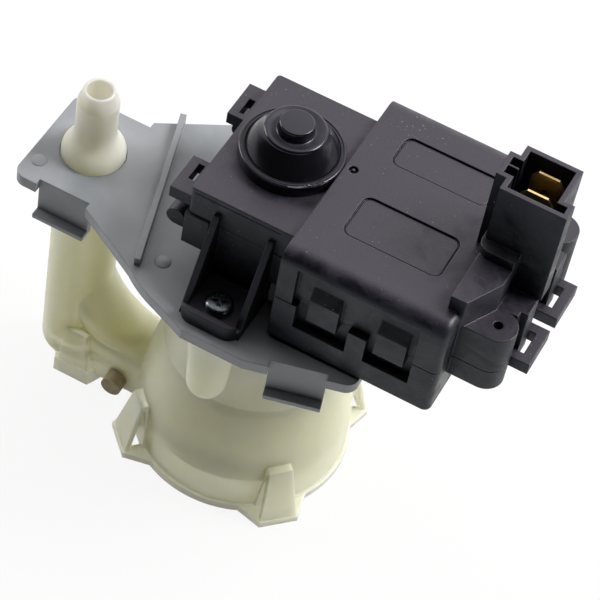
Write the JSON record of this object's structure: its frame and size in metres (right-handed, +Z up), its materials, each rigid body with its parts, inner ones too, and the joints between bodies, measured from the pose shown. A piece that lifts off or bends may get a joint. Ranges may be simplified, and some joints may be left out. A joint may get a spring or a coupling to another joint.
{
  "type": "dryer drain pump",
  "caption": "Small drain pump for a tumble dryer: flat black synchronous motor on a clip-on grey plate over a translucent pump cup with a riser tower and hose spigot.",
  "frame": {"origin": "on the shaft axis, at the mouth of the inlet tube, in the plane of the cup's rim", "axes": "+Z up along the shaft towards the motor, +X towards the supply socket, +Y to the rear, away from the side seen in the picture"},
  "size_m": [0.1048, 0.0586, 0.1026],
  "materials": {
    "nylon_black": "fine matte, glass filled",
    "pp_grey": "satin",
    "pp_natural": "milky, faintly translucent",
    "rubber_black": "matte with moulding flash",
    "rubber_beige": "matte",
    "steel_zinc": "zinc plated",
    "steel_stainless": "ground",
    "steel_laminated": "stamped layers, oxide",
    "brass_tinned": "tinned",
    "bronze_sintered": "oiled",
    "copper_enamelled": "enamelled wire",
    "ferrite": "dark ceramic",
    "pbt_white": "satin"
  },
  "bodies": {
    "housing": {"motor_cover": "nylon_black", "motor_base": "nylon_black", "stator_core": "steel_laminated", "coil_bobbin_front": "pbt_white", "coil_bobbin_rear": "pbt_white", "coil_winding_front": "copper_enamelled", "coil_winding_rear": "copper_enamelled", "plate_screw_front": "steel_zinc", "plate_screw_rear": "steel_zinc", "spade_terminal_front": "brass_tinned", "spade_terminal_rear": "brass_tinned", "lower_bearing": "bronze_sintered", "upper_bearing": "bronze_sintered", "thrust_washer": "pbt_white", "rubber_cap": "rubber_black", "mounting_plate": "pp_grey", "pump_body": "pp_natural", "channel_plug": "rubber_beige", "suction_cover": "pp_natural", "cover_seal": "rubber_black", "shaft_seal": "rubber_black"},
    "drive": {"rotor_shaft": "steel_stainless", "clutch_driver": "pbt_white", "impeller": "pbt_white", "impeller_clip": "steel_stainless"},
    "magnet": {"rotor_magnet": "ferrite", "rotor_hub": "pbt_white"}
  },
  "joints": [
    {"name": "shaft_spin", "type": "hinge", "parent": "housing", "child": "drive", "pos_m": [0, 0, 0.05], "axis": [0, 0, 1], "continuous": true},
    {"name": "clutch_play", "type": "hinge", "parent": "drive", "child": "magnet", "pos_m": [0, 0, 0.0735], "axis": [0, 0, 1], "range_deg": [-130, 130]}
  ]
}
